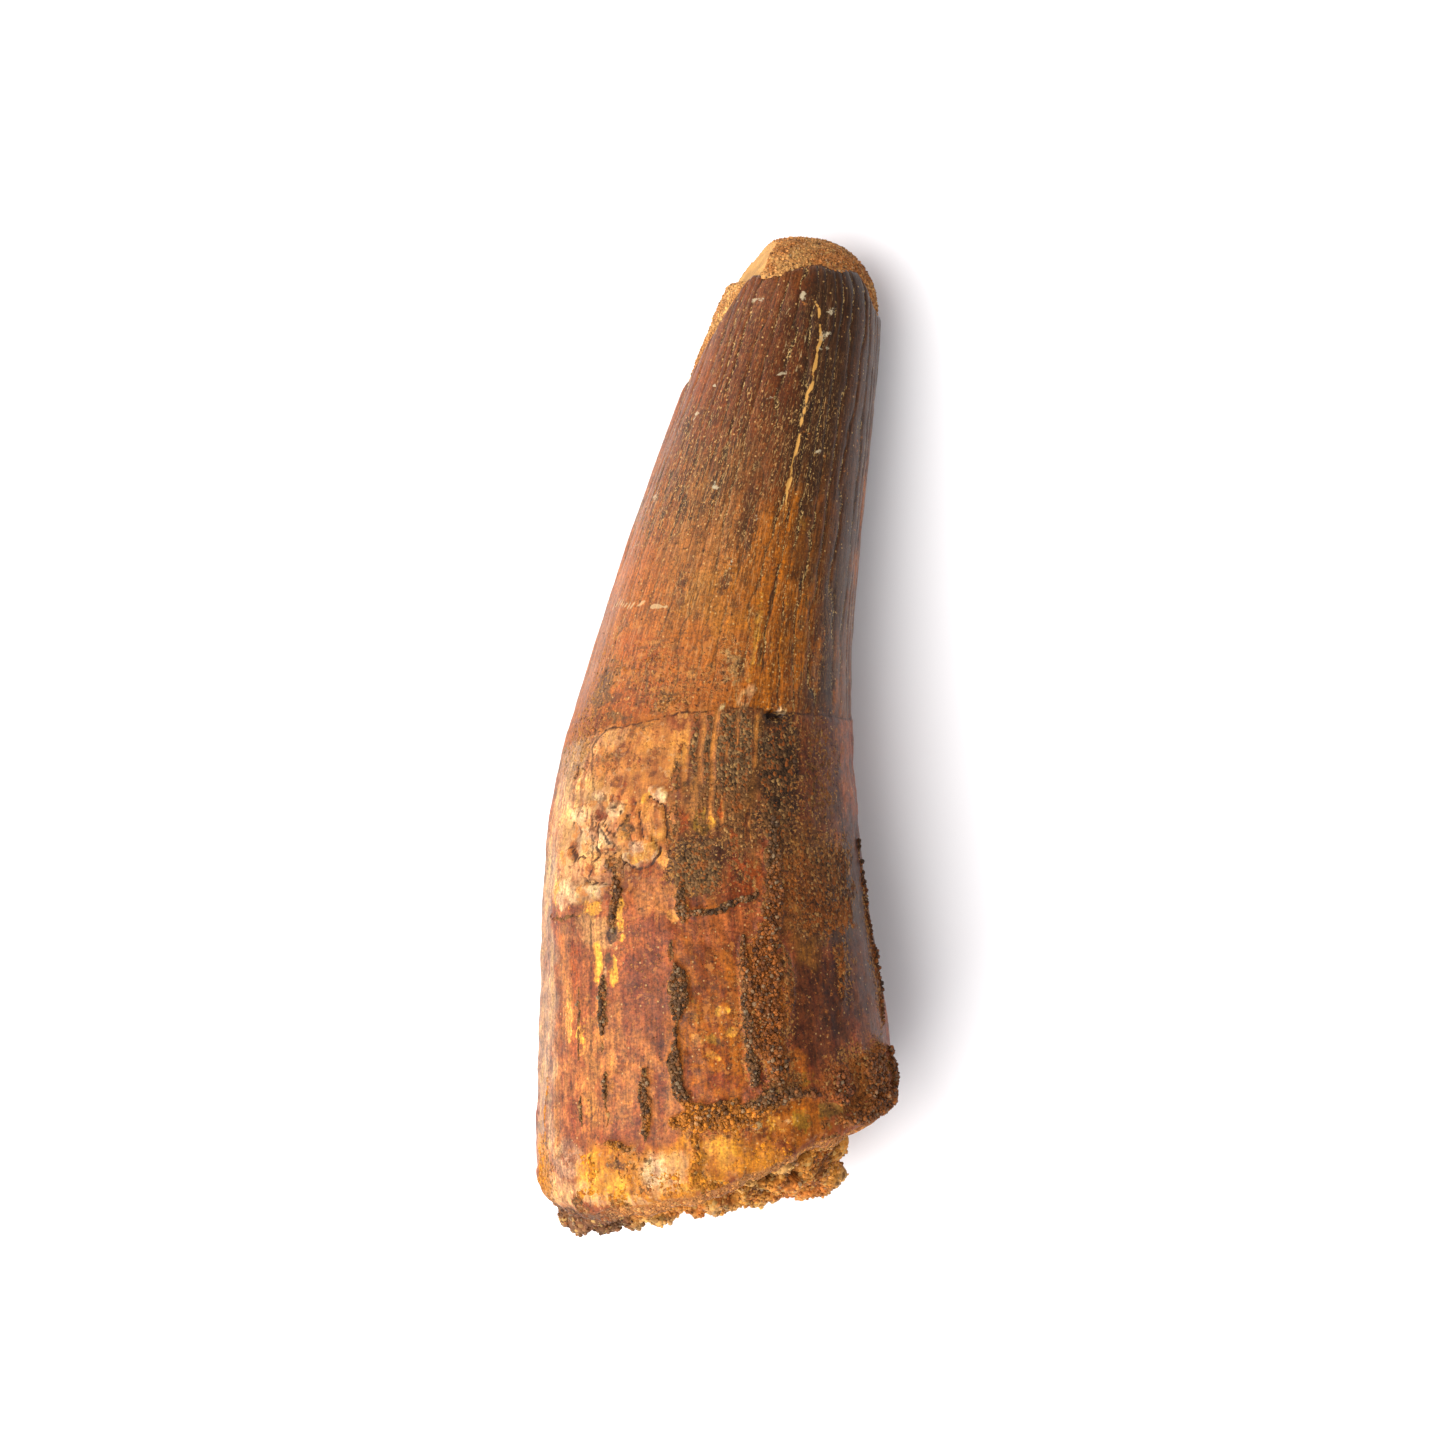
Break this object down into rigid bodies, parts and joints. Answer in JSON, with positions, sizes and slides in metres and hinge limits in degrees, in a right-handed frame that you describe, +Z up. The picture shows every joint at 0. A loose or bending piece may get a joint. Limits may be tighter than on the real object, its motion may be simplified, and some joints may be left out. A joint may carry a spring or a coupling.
{
  "type": "fossil dinosaur tooth",
  "caption": "Long, fluted fossil tooth crown with a gentle curve, lying on its flank, with sandstone on its broken tip and in its open root end.",
  "frame": {"origin": "on the surface that the tooth rests on, under the middle of its bounding box", "axes": "+Y from the root end to the tip, +X to the inner side of the curve, +Z up, with the tooth lying on its flank"},
  "size_m": [0.0307, 0.0841, 0.026],
  "materials": {
    "enamel": "satin",
    "pale_sandstone": "matte",
    "brown_sandstone": "matte"
  },
  "bodies": {
    "root": {"tooth": "enamel", "tip_sandstone": "pale_sandstone", "root_sandstone": "brown_sandstone"}
  },
  "joints": []
}
